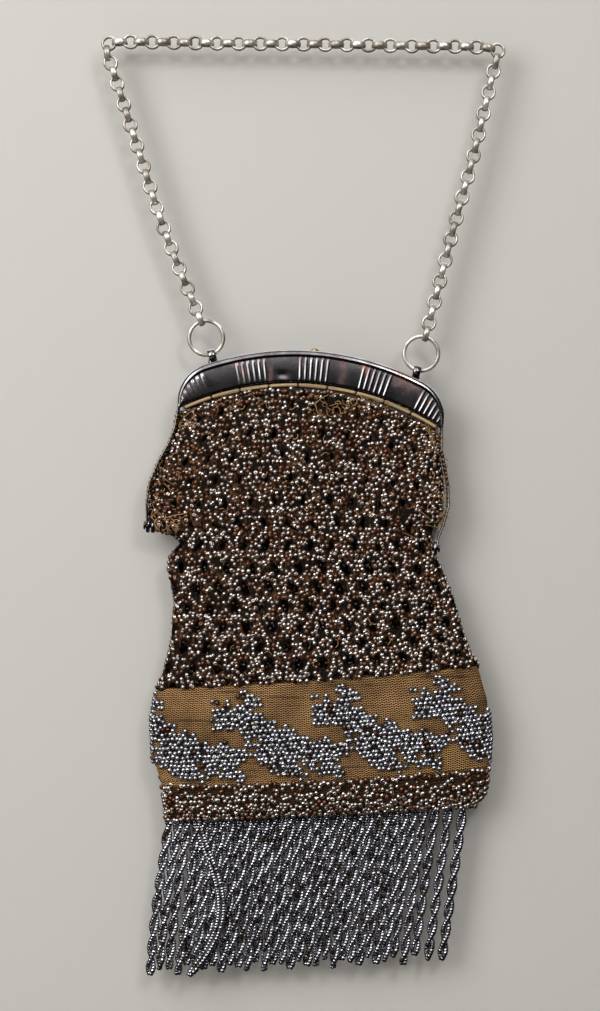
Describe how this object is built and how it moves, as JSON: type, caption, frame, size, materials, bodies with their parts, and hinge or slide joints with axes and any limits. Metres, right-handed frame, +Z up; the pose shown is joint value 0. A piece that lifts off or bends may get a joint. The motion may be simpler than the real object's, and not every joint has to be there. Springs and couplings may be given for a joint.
{
  "type": "beaded reticule",
  "caption": "Beaded reticule of steel-bead net with a golden-brown knitted band, an arched steel frame, a long bead fringe and a chain handle, hanging by its chain.",
  "frame": {"origin": "middle of the chain handle's top run, where the purse hangs", "axes": "+Z up along the hanging purse, +X to the right seen from the front, +Y from front to back"},
  "size_m": [0.1338, 0.0142, 0.3142],
  "materials": {
    "frame_steel": "dark pressed steel, worn and tarnished",
    "chain_nickel": "pale plated wire, brownish in the joints",
    "catch_brass": "worn brass",
    "edge_cord": "tan twisted cord",
    "bead_net": "cut steel beads on brown silk, some rusted",
    "band_knit": "fine golden-brown knit with steel beads",
    "fringe_beads": "blue-grey steel beads on twisted strands"
  },
  "bodies": {
    "root": {"frame_front": "frame_steel", "frame_back": "frame_steel", "hinge_rivet_left": "frame_steel", "hinge_rivet_right": "frame_steel", "catch_knob": "catch_brass", "edge_cord_front": "edge_cord", "edge_cord_back": "edge_cord", "ring_left": "chain_nickel", "ring_right": "chain_nickel", "chain_handle": "chain_nickel", "net_body": "bead_net", "knit_band": "band_knit", "bead_border": "bead_net", "fringe": "fringe_beads"}
  },
  "joints": []
}
